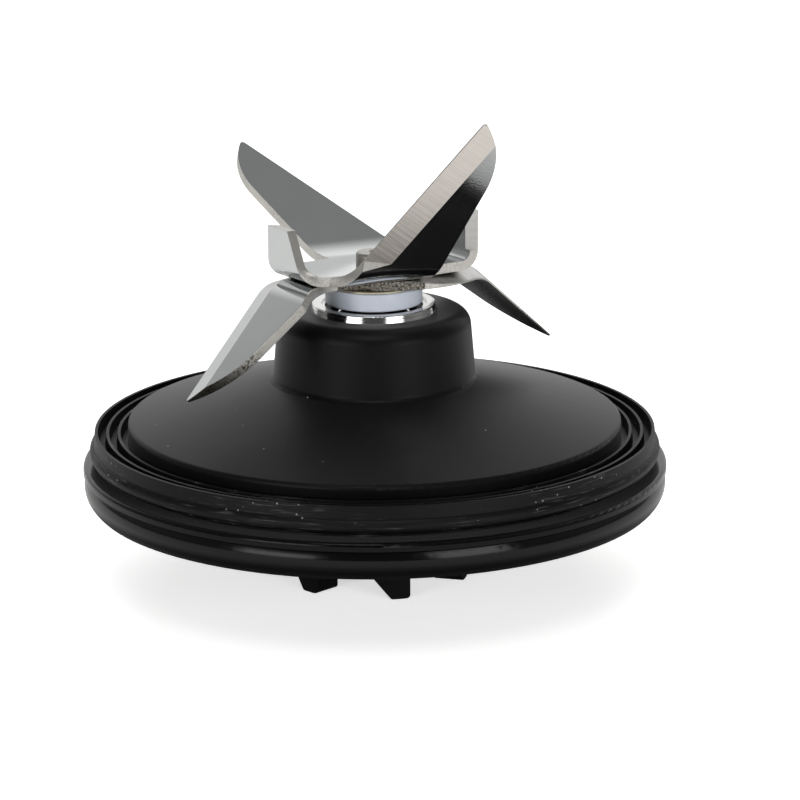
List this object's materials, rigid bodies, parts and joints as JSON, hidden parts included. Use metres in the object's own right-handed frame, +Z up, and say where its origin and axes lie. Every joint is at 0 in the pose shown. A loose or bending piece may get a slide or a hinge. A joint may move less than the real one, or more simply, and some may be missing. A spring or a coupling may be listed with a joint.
{
  "type": "blender blade assembly",
  "caption": "Jar base of a blender with a black domed housing, a lipped rubber gasket, folded steel blades on a spindle and a dog coupling below.",
  "frame": {"origin": "on the spindle axis at the tips of the drive dogs", "axes": "+Z up along the spindle axis, -Y towards the front of the picture, +X to its right"},
  "size_m": [0.09, 0.09, 0.0742],
  "materials": {
    "blade_steel": "satin stamped stainless sheet with ground cutting edges",
    "spindle_steel": "turned stainless steel",
    "bright_steel": "bright turned stainless steel",
    "washer_steel": "thin plain steel",
    "white_nylon": "translucent bluish white nylon",
    "housing_black": "fine-grained matt black moulding with a polished rim",
    "base_black": "gloss black moulding",
    "black_rubber": "soft black rubber",
    "bush_bronze": "sintered bronze",
    "felt": "oiled wool felt",
    "coupling_black": "tough black moulding",
    "insert_brass": "machined brass"
  },
  "bodies": {
    "housing": {"dome_housing": "housing_black", "base_ring": "base_black", "jar_gasket": "black_rubber", "bearing_sleeve": "bright_steel", "upper_bush": "bush_bronze", "lower_bush": "bush_bronze", "oil_felt": "felt", "shaft_seal": "black_rubber", "seal_spring": "spindle_steel", "sleeve_o_ring": "black_rubber", "sleeve_nut": "spindle_steel", "base_screws": "spindle_steel"},
    "rotor": {"spindle": "spindle_steel", "upper_blade": "blade_steel", "lower_blade": "blade_steel", "blade_washer": "washer_steel", "blade_spacer": "white_nylon", "thrust_washer": "white_nylon", "shim_washer": "washer_steel", "retaining_clip": "spindle_steel", "drive_coupling": "coupling_black", "coupling_insert": "insert_brass"}
  },
  "joints": [
    {"name": "rotor_spin", "type": "hinge", "parent": "housing", "child": "rotor", "pos_m": [0, 0, 0], "axis": [0, 0, 1], "continuous": true}
  ]
}
